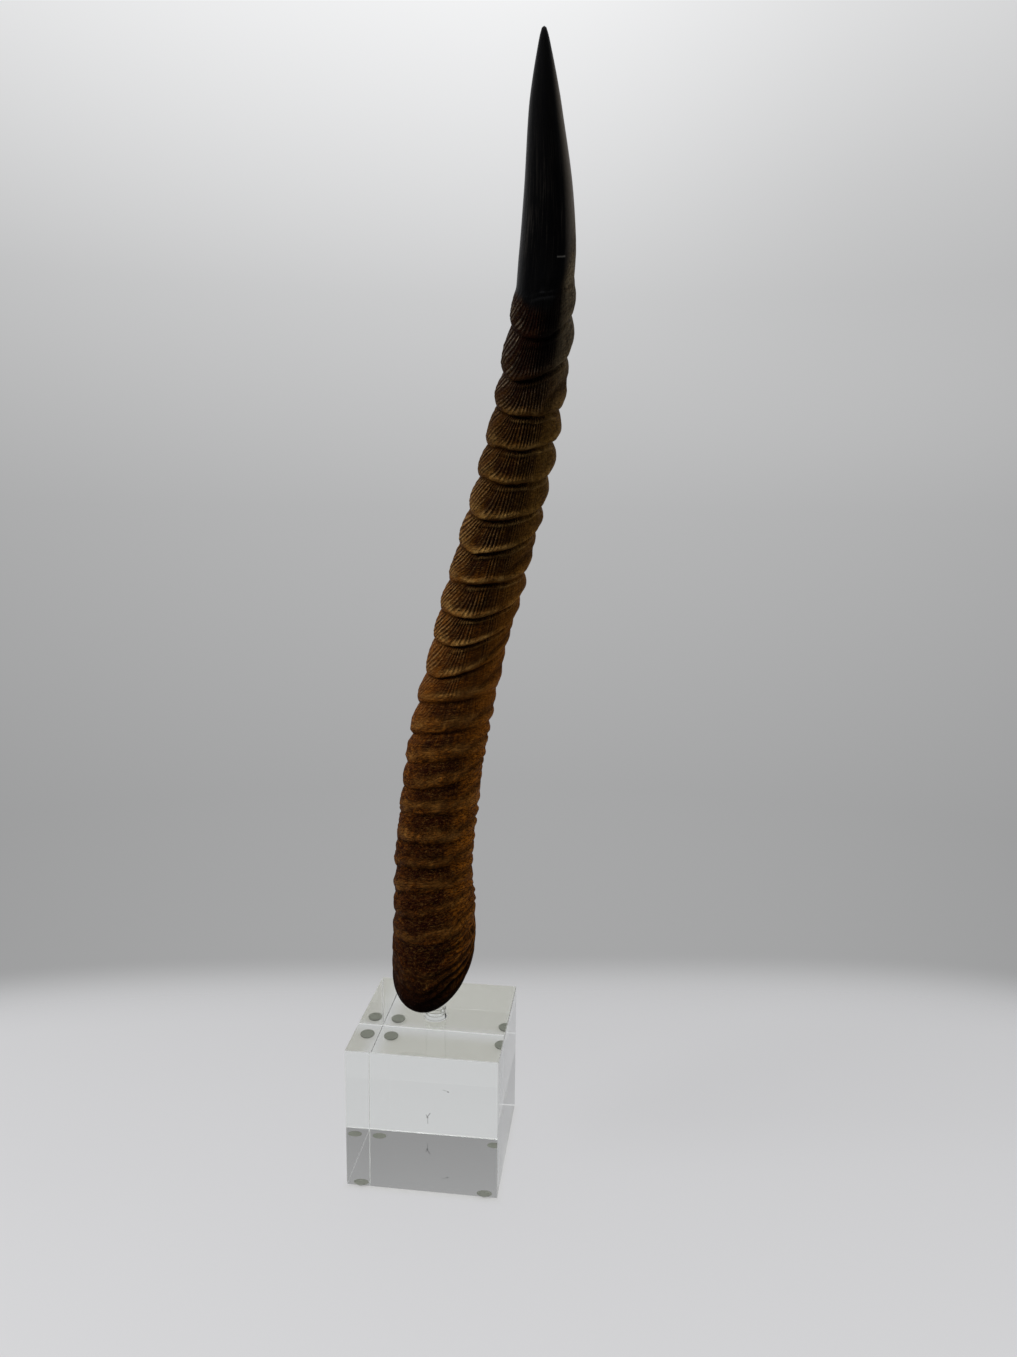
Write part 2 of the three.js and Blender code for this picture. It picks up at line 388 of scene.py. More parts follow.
def add_rings(s):
    """The main rings: their depth, and their outlines, which are stepped on the front of the upper ones."""
    depth = (along(DEPTH_LEFT, s.height) * s.of_left + along(DEPTH_RIGHT, s.height) * s.of_right
             + along(DEPTH_FRONT, s.height) * s.of_front + along(DEPTH_BACK, s.height) * s.of_back)
    s.depth = depth * (1 + 0.3 * round_horn(s.angle, s.height, 14, 9, 3))
    bulge = np.sin(np.pi * (1 - s.t) ** 1.3).clip(0, 1) ** 0.55
    shifted = s.t + 0.04 * np.sin(math.pi * s.t) * round_horn(s.angle, s.height, 8, 30, 29)
    s.sawn = smooth(s.front, 0.1, 0.75) * smooth(s.height, 225, 315) * smooth(s.right, -0.92, -0.48)
    profile = bulge * (1 - s.sawn) + along(FRONT_PROFILE, shifted) * s.sawn
    s.lip = bell(shifted, LIP, 0.04) * s.sawn * smooth(s.right, -0.6, -0.3)
    above = np.where(s.height > SHEATH_HEIGHT, -RING_MEAN * s.depth, 0)
    return np.where(s.in_ring, s.depth * (profile - RING_MEAN), above)


def add_finer_grooves(s):
    """A finer groove splits off some rings' lower groove and climbs to the right."""
    split = SPLITS[s.number]
    start = 0.12
    path = start + (split - start) * smooth(s.right, 0.05, 0.9)
    notch = bell(s.t, path, 0.13) * smooth(s.right, 0.12, 0.6) * (0.5 + 0.5 * smooth(s.front, -0.9, 0.1))
    s.finer = np.where((split > 0) & s.in_ring, notch, 0)
    return -s.finer * np.minimum(along(DEPTH_RIGHT, s.height) * 0.9, 1.1)


def add_ridges(s):
    """Fine ridges run up each ring; on the left they fan out downwards."""
    sweep = 0.95 * smooth(-s.right, 0.1, 1.05) * np.where(s.in_ring, s.t - 0.5, 0)
    s.streak = s.angle - sweep
    drift = 2.4 * round_horn(s.angle, s.height, 7, 34, 7) + 0.9 * round_horn(s.angle, s.height, 2.4, 11, 8)
    # They stand closest at the front right
    s.phase = RIDGES * s.streak - 34 * np.cos(s.streak) + 12 * np.sin(s.streak) + drift
    ridged = smooth(s.height, 205, 300) * (1 - smooth(s.height, 418, 434))
    ridged *= smooth(s.t, 0.13, 0.26) * (1 - 0.6 * s.lip)
    ridged *= smooth(round_horn(s.streak, s.height, 3.5, 26, 5), -0.9, 0.1)
    ridged *= 0.35 + 0.65 * smooth(round_horn(s.streak, s.height, 2.2, 7, 6), -0.7, 0.3)
    s.ridged = ridged * (1 - 0.9 * smooth(s.right, 0.2, 0.62)) * s.in_ring
    comb = round_horn(s.streak, s.height, 2.3, 22, 7)
    return (0.22 * np.sin(s.phase) * s.ridged * (0.3 + 0.7 * smooth(s.front, -0.5, -0.05))
            + 0.1 * comb * s.in_ring * smooth(s.t, 0.04, 0.2))


def add_wrinkles(s):
    """Growth lines, wrinkles and lumps, strongest low down, and deeper creases above the rim."""
    def lumps(across, lengthwise, seed):
        return round_horn(s.angle, s.height, across, lengthwise, seed)

    growth, wrinkle = lumps(24, 2.6, 11), lumps(4.5, 1.7, 12)
    relief = (0.45 * growth + 0.5 * wrinkle) * s.low
    relief += (0.08 * growth + 0.07 * wrinkle) * (1 - s.low) * s.in_ring
    relief += 0.4 * lumps(13, 15, 13) * (1 - smooth(s.height, 420, 450))
    relief += 0.4 * lumps(40, 1.6, 37) * (1 - smooth(s.height, 114, 128))
    relief += 0.4 * lumps(7, 3.4, 43) * s.of_right * s.low
    crease = 0
    for k, at in enumerate(CREASES):
        middle = at + 2.2 * s.right + 0.9 * lumps(9, 40, 50 + k)
        crease = crease + (1 - 0.15 * k) * bell(s.height, middle, 0.95)
    s.crease = crease * smooth(s.right, -0.75, 0.3) * smooth(s.front, -0.4, 0.3)
    return relief - 1.2 * s.crease


def place_points(s, relief):
    """Where the points lie, in mm about the block's middle."""
    full = along(MEAN_RADIUS, s.height)
    flat = full - RIM_ROUND
    end = s.share <= 1
    rim = (s.share > 1) & (s.share < 2)
    radius = np.where(end, flat * s.share, np.where(rim, flat + RIM_ROUND * (s.share - 1), full + relief))
    uneven = 1.1 * round_horn(s.angle, s.height, 12, 16, 17) + 0.4 * round_horn(s.angle, s.height, 5, 9, 18)
    overhang = -bell(s.t, 0.12, 0.07) * s.sawn * s.depth * 0.2 * (1 - smooth(s.right, 0.1, 0.6))
    rough_end = 0.25 * round_horn(s.angle, radius * 3, 9, 9, 19) * end
    points = bend(radius, s.height, s.angle, (uneven + overhang) * s.in_ring + rough_end)
    x, y, z = (points[..., k] for k in range(3))
    cos, sin = math.cos(TURN), math.sin(TURN)
    return np.stack([x * cos - y * sin, x * sin + y * cos, z], -1)


def colour_masks(s):
    """Where each of the horn's colours lies, from 0 to 1."""
    # Low down the bands of colour wander; higher up they keep to the rings
    wander = 0.14 * round_horn(s.angle, s.height, 9, 5, 31) + 0.07 * round_horn(s.angle, s.height, 3, 2, 33)
    u = np.where(s.in_ring, s.t + wander * (0.25 + 0.75 * s.low), 0)
    high = 1 - s.low
    centre = smooth(s.right, -0.7, -0.3) * (1 - smooth(s.right, 0.25, 0.75))

    wear_and_sheen = np.array(CREST_WEAR_AND_SHEEN)[s.number] * s.in_ring
    # The crests' light is partly wear and partly painted highlight, stronger towards the front
    crest = bell(u, 0.16 + 0.14 * (1 - s.sawn), 0.05 + 0.11 * (1 - s.sawn)) * wear_and_sheen
    crest = crest * (0.35 + 0.65 * smooth(s.front, -0.1, 0.6)) * (1 - 0.35 * smooth(s.right, 0.3, 0.8))
    crest = crest * (0.4 + 0.6 * smooth(round_horn(s.angle, s.height, 7, 8, 41), -0.6, 0.3))
    crest = crest * (0.5 + 0.5 * np.maximum(centre, s.low))

    # Painted shade in the groove beneath each crest
    shade_beneath = bell(np.minimum(s.t, 1 - s.t), 0, 0.07) * s.in_ring * (1 - 0.75 * s.low) * (0.4 + 0.6 * centre)

    body = smooth(u, 0.2 + 0.12 * s.low, 0.38 + 0.24 * s.low) * (1 - 0.6 * smooth(s.t, 0.93, 1) * high)
    darkest = 0.25 + (0.75 * smooth(s.right, -0.78, -0.5) * (1 - 0.45 * smooth(s.right, -0.3, 0.2))
                      * (1 - 0.7 * smooth(s.right, 0.3, 0.75)))
    ragged = s.right + 0.3 * round_horn(s.angle, s.height, 9, 7, 61)
    middle = smooth(s.front, 0.3, 0.8) * (1 - smooth(ragged, 0.1, 0.7))
    middle = middle * (1 - 0.8 * smooth(-s.right, 0.45, 0.85))
    body = body * s.in_ring * (middle * s.low + darkest * smooth(s.front, -0.35, 0.45) * high)

    edge = (SHEATH_HEIGHT - 5 * s.of_front + 14 * s.of_right + 10 * s.of_back
            + 1.6 * round_horn(s.angle, s.height, 4, 9, 23))
    return {
        # The second lip is painted light along with the crests, as painted highlight
        "crest": np.maximum(crest, 0.6 * s.lip * wear_and_sheen),
        # Painted shade in the grooves, finer grooves and creases
        "hollow": np.clip(0.85 * shade_beneath + 0.8 * s.finer + s.crease, 0, 1),
        "body": body,
        "olive": smooth(s.right, -0.05, 0.75),
        "sheath": smooth(s.height - edge, -1.2, 1.8 + 20 * s.of_right),
        "cut_end": (s.share < 1.6).astype(float),
        "height": s.height,
        "ridged": s.ridged,
        "low": s.low,
    }


def unroll(mesh, rows, columns):
    """One unrolled sheet for baking: round the horn across, its rows up, the two ends below and above."""
    side, end = 0.005, 0.01

    def across(column):
        return side + (1 - 2 * side) * column / columns

    def corner(u, v):
        return np.stack(np.broadcast_arrays(u, v), -1)

    row, column = np.meshgrid(np.arange(rows - 1), np.arange(columns), indexing="ij")
    v = np.linspace(end, 1 - end, rows)
    left, right, lower, upper = across(column), across(column + 1), v[row], v[row + 1]
    sheet = np.stack([corner(left, lower), corner(right, lower),
                      corner(right, upper), corner(left, upper)], 2)
    left, right = across(np.arange(columns)), across(np.arange(columns) + 1)
    middle = (left + right) / 2
    bottom = np.stack([corner(middle, 0.0), corner(right, end), corner(left, end)], 1)
    top = np.stack([corner(middle, 1.0), corner(left, 1 - end), corner(right, 1 - end)], 1)
    corners = np.concatenate([part.reshape(-1, 2) for part in (sheet, bottom, top)])
    mesh.uv_layers.new(name="OFBake").uv.foreach_set("vector", corners.astype(np.float32).ravel())


def ring_mesh(name, points, phase, masks, vectors):
    """A closed mesh from rows of points, with a point at each end, and with values stored on its points."""
    rows, columns = points.shape[:2]
    tip = points[-1].mean(0) + (points[-1].mean(0) - points[-3].mean(0)) * 0.25
    ends = np.stack([points[0].mean(0), tip])
    co = np.concatenate([points.reshape(-1, 3), ends]) * MM + np.array(CENTRE)
    row, column = np.meshgrid(np.arange(rows - 1), np.arange(columns), indexing="ij")
    following = (column + 1) % columns
    quads = np.stack([row * columns + column, row * columns + following,
                      (row + 1) * columns + following, (row + 1) * columns + column], -1).reshape(-1, 4)
    first, last = rows * columns, rows * columns + 1
    top_row = (rows - 1) * columns
    around = [(k, (k + 1) % columns) for k in range(columns)]
    caps = [(first, b, a) for a, b in around] + [(last, top_row + a, top_row + b) for a, b in around]
    mesh = bpy.data.meshes.new(name)
    mesh.from_pydata(co.tolist(), [], [tuple(q) for q in quads.tolist()] + caps)
    mesh.polygons.foreach_set("use_smooth", [True] * len(mesh.polygons))

    # The phase goes on growing past the seam, so it is stored on the faces' corners
    wide = np.concatenate([phase, phase[:, :1] + RIDGES * 2 * math.pi], 1)
    corners = np.stack([wide[row, column], wide[row, column + 1],
                        wide[row + 1, column + 1], wide[row + 1, column]], -1).ravel()
    corners = np.concatenate([corners, np.zeros(3 * len(caps))]).astype(np.float32)
    mesh.attributes.new("phase", "FLOAT", "CORNER").data.foreach_set("value", corners)
    for key, values in masks.items():
        flat = np.concatenate([values.ravel(), [values[0].mean(), values[-1].mean()]]).astype(np.float32)
        mesh.attributes.new(key, "FLOAT", "POINT").data.foreach_set("value", flat)
    for key, values in vectors.items():
        flat = np.concatenate([values.reshape(-1, 3), values[0].mean(0)[None], values[-1].mean(0)[None]])
        stored = mesh.attributes.new(key, "FLOAT_VECTOR", "POINT")
        stored.data.foreach_set("vector", flat.astype(np.float32).ravel())
    unroll(mesh, rows, columns)
    mesh.validate()
    piece = bpy.data.objects.new(name, mesh)
    bpy.context.scene.collection.objects.link(piece)
    return piece


# ---------------------------------------------------------------- the horn's surface

def horn_patterns(tree):
    """The values stored on the mesh, and the noises laid over it."""
    straight = mesh_value(tree, "straight", "Vector")
    swept = mesh_value(tree, "swept", "Vector")
    stored = ("height", "crest", "hollow", "body", "low", "ridged", "phase", "olive", "sheath", "cut_end")
    p = SimpleNamespace(**{name: mesh_value(tree, name) for name in stored})
    p.forward, p.rightward, p.upward = apart(tree, straight)
    p.ridge = spread(tree, maths(tree, "SINE", p.phase), -0.6, 0.8)
    p.fibres = noise(tree, swept, (1.3, 1.3, 0.05), 2.0, 0.55)
    p.patches = noise(tree, straight, (0.16, 0.16, 0.12), 3.0, 0.6)
    p.mottle = noise(tree, straight, (0.38, 0.38, 0.62), 3.0, 0.65)
    p.grain = noise(tree, straight, (0.55, 0.55, 1.4), 2.0, 0.6)
    p.lines = noise(tree, straight, (0.09, 0.09, 0.85), 2.0, 0.6)
    p.wrinkles = noise(tree, straight, (0.3, 0.3, 0.8), 2.0, 0.6)
    p.veins = noise(tree, straight, (0.3, 0.3, 1.25), 3.0, 0.65)
    p.creased = product(tree, spread(tree, distance(tree, p.wrinkles, 0.5), 0.01, 0.09, 1.0, 0.0),
                        by_mask(tree, p.low, 0.3, 0.8))
    p.upper = spread(tree, p.height, 220, 370)
    p.top = spread(tree, p.height, 372, 412)
    # Under the tip the light colours only show at the sides, as painted side light
    sides = spread(tree, maths(tree, "ABSOLUTE", p.rightward), 7.0, 15.0)
    p.lit = rest(tree, product(tree, p.top, by_mask(tree, sides, 0.9, 0.3)))
    return p


def ground_colour(tree, p):
    """Amber low down, brown higher up, nearly black under the tip, and olive on the right."""
    base = blend(tree, p.upper, (124, 70, 17), (88, 56, 16))
    base = blend(tree, p.top, base, (10, 5, 3))
    mottled = product(tree, spread(tree, p.mottle, 0.43, 0.57), by_mask(tree, p.low, 0.4, 0.8))
    base = blend(tree, mottled, base, (39, 7, 4))
    base = blend(tree, spread(tree, p.height, 190, 115, 0.0, 0.55), base, (46, 12, 6))
    olive = blend(tree, p.upper, (146, 86, 20), (108, 80, 34))
    olive = blend(tree, p.top, olive, (111, 100, 79))
    return blend(tree, product(tree, p.olive, spread(tree, p.patches, 0.3, 0.6, 0.45, 0.9)), base, olive)


def ring_colours(tree, p, base):
    """Each ring's dark, streaked upper part, and its ridges: light, partly from pale fibres and partly as
    painted highlight, with painted shade in the lines between them.
    """
    streaky = total(tree, spread(tree, p.fibres, 0.43, 0.57, 1.0, 0.45),
                    spread(tree, p.patches, 0.35, 0.6, -0.15, 0.35))
    streaky = total(tree, streaky, product(tree, p.low, 0.25))
    shade = maths(tree, "MULTIPLY", p.body, streaky, clamp=True)
    paler = product(tree, spread(tree, p.height, 232, 262), spread(tree, p.height, 305, 275), 0.3)
    shade = product(tree, shade, rest(tree, paler), by_mask(tree, p.low, 0.95, 0.89))
    dark = blend(tree, p.low, (26, 9, 7), (30, 6, 3))
    dark = blend(tree, spread(tree, p.height, 385, 410), dark, (12, 8, 8))
    base = blend(tree, shade, base, dark)

    # Painted shade in the lines between the ridges
    valley = product(tree, p.ridged, rest(tree, p.ridge), by_mask(tree, p.body, 0.85, 0.5))
    base = blend(tree, valley, base, (12, 5, 3))
    # Light ridges: partly pale fibres, partly painted highlight
    light = product(tree, p.ridged, p.ridge, by_mask(tree, p.body, 0.62, 0.27),
                    spread(tree, p.mottle, 0.35, 0.6, 0.2, 1.0), p.lit)
    return blend(tree, light, base, blend(tree, p.top, (156, 121, 74), (190, 176, 152)))


def wear_and_painted_light(tree, p, base):
    """Painted shade in the wrinkles' creases, dark growth lines, golden crests that are partly worn and
    partly painted highlight, painted shade in the hollows, light specks, and light lines on the wrinkles as
    painted highlight.
    """
    # Painted shade in the wrinkles' creases
    base = blend(tree, p.creased, base, (28, 6, 3))
    grown = product(tree, spread(tree, p.lines, 0.47, 0.6), spread(tree, p.height, 118, 150, 0.75, 0.15))
    base = blend(tree, grown, base, (26, 11, 6))
    # Golden crests: partly wear, partly painted highlight
    worn_and_sheen = product(tree, p.crest, spread(tree, p.patches, 0.34, 0.6, 0.25, 1.0),
                   spread(tree, p.wrinkles, 0.36, 0.6, 1.0, 0.45), p.lit, 0.85)
    golden = blend(tree, spread(tree, p.height, 200, 330), (177, 122, 56), (184, 145, 82))
    base = blend(tree, worn_and_sheen, base, golden)
    # Painted shade in the grooves and creases
    base = blend(tree, product(tree, p.hollow, 0.85), base, (18, 7, 4))
    base = blend(tree, spread(tree, p.grain, 0.5, 0.64, 0.0, 0.4), base, (22, 5, 3))
    specks = product(tree, spread(tree, p.grain, 0.42, 0.33), by_mask(tree, p.low, 0.12, 0.16), p.lit)
    base = blend(tree, specks, base, (182, 138, 72))
    # Light lines along the wrinkles: painted highlight
    veins = product(tree, spread(tree, distance(tree, p.veins, 0.5), 0.0, 0.022, 1.0, 0.0),
                    by_mask(tree, p.low, 0.04, 0.27))
    return blend(tree, veins, base, (174, 120, 60))


def shaded_colours(tree, p, base):
    """Painted shade on the rim and in the creases above it, painted shade on the left side, and black that
    runs down from the tip.
    """
    # Painted shade on the rim, weaker towards the right
    rim = product(tree, spread(tree, p.height, 119, 106, 0.0, 0.95),
                  spread(tree, p.rightward, -8.0, 10.0, 1.0, 0.4))
    base = blend(tree, rim, base, (10, 4, 3))
    # The lower left edge is painted near black as shade
    edge = product(tree, spread(tree, p.height, 111.0, 107.5, 0.0, 0.92),
                   spread(tree, p.rightward, -16.0, -9.0))
    base = blend(tree, edge, base, (4, 2, 2))
    # Painted shade in the creases just above the rim
    base = blend(tree, product(tree, p.hollow, spread(tree, p.height, 130, 118)), base, (9, 3, 2))
    # Painted shade on the left side, low down and again higher up
    left = total(tree, spread(tree, p.height, 300, 130), spread(tree, p.height, 335, 380, 0.0, 0.8))
    left = product(tree, left, spread(tree, p.rightward, 4.0, -14.0, 0.0, 0.5))
    base = blend(tree, left, base, (24, 8, 4))
    run = product(tree, spread(tree, distance(tree, p.rightward, 5.0), 2.0, 8.5, 0.85, 0.0),
                  spread(tree, p.height, 392, 416), spread(tree, p.forward, 0.0, 6.0))
    return blend(tree, run, base, (6, 5, 6))


def tip_colour(tree, p):
    """Smooth and black, with grey scuffs along its lower half, one light scratch and painted sheen along its
    right side.
    """
    black = blend(tree, spread(tree, p.height, 450, 500), (7, 7, 8), (13, 13, 14))
    rubbed = product(tree, spread(tree, p.fibres, 0.5, 0.66), spread(tree, p.height, 500, 455, 0.15, 1.0),
                     spread(tree, p.patches, 0.35, 0.6, 0.2, 1.0), spread(tree, p.height, 430, 452, 0.1, 0.8))
    black = blend(tree, rubbed, black, (44, 41, 38))
    bare = scratch(tree, p.rightward, p.upward, (4.5, 440.8), (9.5, 440.2), 0.4)
    bare = product(tree, bare, maths(tree, "GREATER_THAN", p.forward, 0.0), 0.6)
    black = blend(tree, bare, black, (120, 118, 112))
    # Painted sheen along the right side
    flank = product(tree, spread(tree, p.rightward, 8.5, 16.5), spread(tree, p.height, 516, 490), 0.85)
    return blend(tree, flank, black, (90, 82, 72))


def horn_bump(tree, p):
    """Fine fibres and ridges, then wrinkles, growth lines and grain, all calmer on the tip."""
    calm = rest(tree, product(tree, p.sheath, 0.85))
    combed = total(tree, product(tree, p.fibres, 0.7), product(tree, p.ridge, p.ridged, 0.6))
    combed = product(tree, combed, calm)
    fine = add(tree, "ShaderNodeBump", {"Height": combed, "Strength": 0.8, "Distance": 0.0007})
    skin = product(tree, p.wrinkles, by_mask(tree, p.low, 0.45, 1.3))
    skin = total(tree, skin, product(tree, p.lines, 0.4))
    skin = maths(tree, "SUBTRACT", skin, product(tree, p.creased, 0.22))
    skin = product(tree, total(tree, skin, product(tree, p.grain, 0.35)), calm)
    inputs = {"Height": skin, "Strength": 1.0, "Distance": 0.0014, "Normal": fine.outputs[0]}
    return add(tree, "ShaderNodeBump", inputs).outputs[0]


def horn_material():
    material, tree, shader, _ = new_material("horn_keratin")
    p = horn_patterns(tree)
    base = ground_colour(tree, p)
    base = ring_colours(tree, p, base)
    base = wear_and_painted_light(tree, p, base)
    base = shaded_colours(tree, p, base)
    base = blend(tree, p.sheath, base, tip_colour(tree, p))
    # The cut end and the lower part of its rim are painted near black as shade
    base = blend(tree, p.cut_end, base, (10, 6, 5))
    feed(tree, shader.inputs["Base Color"], base)

    rough = spread(tree, p.mottle, 0.3, 0.7, 0.42, 0.58)
    rough = total(tree, rough, product(tree, p.hollow, 0.2))
    rough = maths(tree, "SUBTRACT", rough, product(tree, p.sheath, 0.2))
    rough = maths(tree, "ADD", rough, product(tree, p.grain, 0.06), clamp=True)
    feed(tree, shader.inputs["Roughness"], rough)
    shader.inputs["IOR"].default_value = 1.54
    shader.inputs["Specular IOR Level"].default_value = 0.012
    # The bare tip is shinier, and so are the worn crests
    shine = total(tree, product(tree, p.sheath, 0.17), product(tree, p.crest, 0.04))
    feed(tree, shader.inputs["Coat Weight"], shine)
    shader.inputs["Coat Roughness"].default_value = 0.34
    feed(tree, shader.inputs["Normal"], horn_bump(tree, p))
    return material


def make_horn():
    surface = surface_places()
    relief = add_rings(surface) + add_finer_grooves(surface) + add_ridges(surface) + add_wrinkles(surface)
    points = place_points(surface, relief)
    vectors = {"straight": straightened(surface.angle, surface.height),
               "swept": straightened(surface.streak, surface.height)}
    horn = ring_mesh("horn_visual", points, surface.phase, colour_masks(surface), vectors)
    horn.data.materials.append(horn_material())
    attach(horn, "root")
    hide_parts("horn")


make_horn()


# ---------------------------------------------------------------- clear acrylic

ACRYLIC_IOR = 1.49

# Marks on the block's back face, in mm right of its middle and above its underside: start, end, width
# and strength. The first four make a forked scratch, and the last two are specks.
BACK_MARKS = [
    ((-6.1, 9.7), (-5.9, 6), 0.45, 0.5), ((-6.1, 9.7), (-4.7, 11.8), 0.5, 0.7),
    ((-6.1, 9.7), (-6.8, 10.8), 0.45, 0.6), ((-6.2, 9.8), (-6, 9.2), 0.7, 0.9),
    ((4.9, 25.2), (5.3, 25.1), 0.6, 0.8), ((2.5, 26), (4.3, 25.6), 0.5, 0.35),
]
TURNED = [TOP + z for z in (0.0004, 0.0026, 0.0044, 0.0062)]  # heights of the peg's turning marks
CHAMFER = 0.00035
COUNTERSINK = 0.0004
BAR_SIDES = 96


def absorb(tree, output):
    """The faint green of thick acrylic."""
    tint = add(tree, "ShaderNodeVolumeAbsorption")
    tint.inputs["Color"].default_value = (0.9, 0.95, 0.9, 1)
    tint.inputs["Density"].default_value = 2.0
    feed(tree, output.inputs["Volume"], tint.outputs[0])


def acrylic_material(name, turned=()):
    """Clear acrylic; turned gives the heights of turning marks, which scatter a little light."""
    material, tree, shader, output = new_material(name)
    across, depth, up = apart(tree, coordinates(tree))
    x = product(tree, maths(tree, "SUBTRACT", across, CENTRE.x), 1000.0)
    z = product(tree, maths(tree, "SUBTRACT", up, BOTTOM), 1000.0)
    marks = 0.0
    for start, end, width, strength in BACK_MARKS:
        mark = product(tree, scratch(tree, x, z, start, end, width), strength)
        marks = maths(tree, "MAXIMUM", marks, mark)
    on_back = maths(tree, "GREATER_THAN", depth, block_high.y - 0.0002)
    tone = blend(tree, product(tree, marks, on_back), (253, 254, 253), (70, 72, 66))
    for height in turned:
        mark = spread(tree, distance(tree, up, height), 0.0001, 0.0004, 0.8, 0.0)
        tone = blend(tree, mark, tone, (150, 147, 138))
    feed(tree, shader.inputs["Base Color"], tone)
    shader.inputs["Transmission Weight"].default_value = 1.0
    shader.inputs["IOR"].default_value = ACRYLIC_IOR
    shader.inputs["Roughness"].default_value = 0.0
    absorb(tree, output)
    return material


def edge_material(name, clear, rough, glow):
    """A narrow chamfer of the block, less finely polished than its faces, with a faint painted glow."""
    material, tree, shader, output = new_material(name)
    scuffs = noise(tree, coordinates(tree), (500.0, 500.0, 500.0), 3.0, 0.6)
    scuffed = spread(tree, scuffs, 0.3, 0.7)
    feed(tree, shader.inputs["Base Color"], blend(tree, scuffed, (252, 253, 252), (240, 242, 238)))
    shader.inputs["Transmission Weight"].default_value = clear
    shader.inputs["IOR"].default_value = ACRYLIC_IOR
    feed(tree, shader.inputs["Roughness"], spread(tree, scuffs, 0.3, 0.7, rough, rough + 0.15))
    # Painted glow
    shader.inputs["Emission Color"].default_value = (1, 1, 1, 1)
    shader.inputs["Emission Strength"].default_value = glow
    absorb(tree, output)
    return material


def glue_material():
    """The glued joint between the peg and its hole: nearly the same index on both sides, so almost unseen."""
    material, tree, shader, output = new_material("clear_glue_line")
    clear = add(tree, "ShaderNodeBsdfTransparent")
    clear.inputs["Color"].default_value = (0.99, 0.992, 0.985, 1)
    shader.inputs["Base Color"].default_value = (0.55, 0.56, 0.53, 1)
    shader.inputs["Roughness"].default_value = 0.3
    rim = add(tree, "ShaderNodeLayerWeight")
    rim.inputs["Blend"].default_value = 0.12
    uneven = noise(tree, coordinates(tree), (400.0, 400.0, 400.0))
    seen = product(tree, rim.outputs["Facing"], spread(tree, uneven, 0.35, 0.7, 0.15, 0.5))
    mix = add(tree, "ShaderNodeMixShader", {0: seen, 1: clear.outputs[0], 2: shader.outputs[0]})
    feed(tree, output.inputs["Surface"], mix.outputs[0])
    return material


def link_mesh(name, bm):
    mesh = bpy.data.meshes.new(name)
    bm.to_mesh(mesh)
    bm.free()
    piece = bpy.data.objects.new(name, mesh)
    bpy.context.scene.collection.objects.link(piece)
    return piece


def turned_piece(name, centre, rows, sides):
    """A closed round piece from (radius, height) rows, from the bottom up."""
    bm = bmesh.new()
    angles = [2 * math.pi * k / sides for k in range(sides)]
    rings = [[bm.verts.new((centre.x + r * math.cos(a), centre.y + r * math.sin(a), z)) for a in angles]
             for r, z in rows]
    for lower, upper in zip(rings, rings[1:]):
        for k in range(sides):
            bm.faces.new((lower[k], lower[(k + 1) % sides], upper[(k + 1) % sides], upper[k]))
    bm.faces.new(list(reversed(rings[0])))
    bm.faces.new(rings[-1])
    return link_mesh(name, bm)


def smooth_sides(piece):
    """Shades a round piece's side smooth, and leaves its flat ends flat."""
    for face in piece.data.polygons:
        face.use_smooth = abs(face.normal.z) < 0.9


def settle(piece):
    """Applies a piece's modifiers."""
    evaluated = piece.evaluated_get(bpy.context.evaluated_depsgraph_get())
    mesh = bpy.data.meshes.new_from_object(evaluated)
    piece.modifiers.clear()
    piece.data = mesh


ACRYLIC = acrylic_material("clear_acrylic_cast")
TURNED_ACRYLIC = acrylic_material("clear_acrylic_turned", TURNED)
EDGE = edge_material("clear_acrylic_edge", 0.75, 0.35, 0.05)
SIDE_EDGE = edge_material("clear_acrylic_side_edge", 1.0, 0.2, 0.03)
GLUE = glue_material()


def rounded_foot(radius, low, edge):
    """The lowest rows of a bar whose end edge is rounded off."""
    return [(radius - edge, low), (radius - edge * 0.3, low + edge * 0.3), (radius, low + edge)]


def make_hole_tool():
    """The shape of the peg's hole, wider at the block's top by the countersink."""
    rows = rounded_foot(PEG_RADIUS, peg_low.z - 0.0003, 0.0002)
    wide = PEG_RADIUS + COUNTERSINK
    rows += [(PEG_RADIUS, TOP - COUNTERSINK), (wide, TOP), (wide, TOP + 0.002)]
    return turned_piece("hole_tool", CENTRE, rows, BAR_SIDES)


def make_block():
    width = block_high.x - block_low.x
    bm = bmesh.new()
    bmesh.ops.create_cube(bm, size=1)
    bmesh.ops.scale(bm, vec=(width, width, TOP - BOTTOM), verts=bm.verts)
    bmesh.ops.translate(bm, vec=CENTRE + Vector((0, 0, (TOP + BOTTOM) / 2)), verts=bm.verts)
    block = link_mesh("acrylic_block_clear", bm)
    bevel = block.modifiers.new("edges", "BEVEL")
    bevel.width, bevel.segments = CHAMFER, 2
    hole = make_hole_tool()
    cut = block.modifiers.new("hole", "BOOLEAN")
    cut.object, cut.operation, cut.solver = hole, "DIFFERENCE", "EXACT"
    settle(block)
    bpy.data.objects.remove(hole)
    materials = [ACRYLIC, GLUE, EDGE, SIDE_EDGE]
    block.data.materials.clear()
    for material in materials:
        block.data.materials.append(material)
    for face in block.data.polygons:
        off = (face.center - CENTRE).xy.length
        in_hole = off < PEG_RADIUS * 1.001 and peg_low.z - 0.001 < face.center.z < TOP - 0.0001
        if in_hole:
            material = GLUE
        elif max(abs(v) for v in face.normal) >= 0.99:
            material = ACRYLIC
        elif abs(face.normal.y) < 0.1 and off > 2 * PEG_RADIUS:
            # The level edges along the left and right faces are better polished than the others, and get less
            # painted glow
            material = SIDE_EDGE
        else:
            material = EDGE
        face.material_index = materials.index(material)
    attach(block, "root")
    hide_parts("acrylic_block")
    block.visible_shadow = False


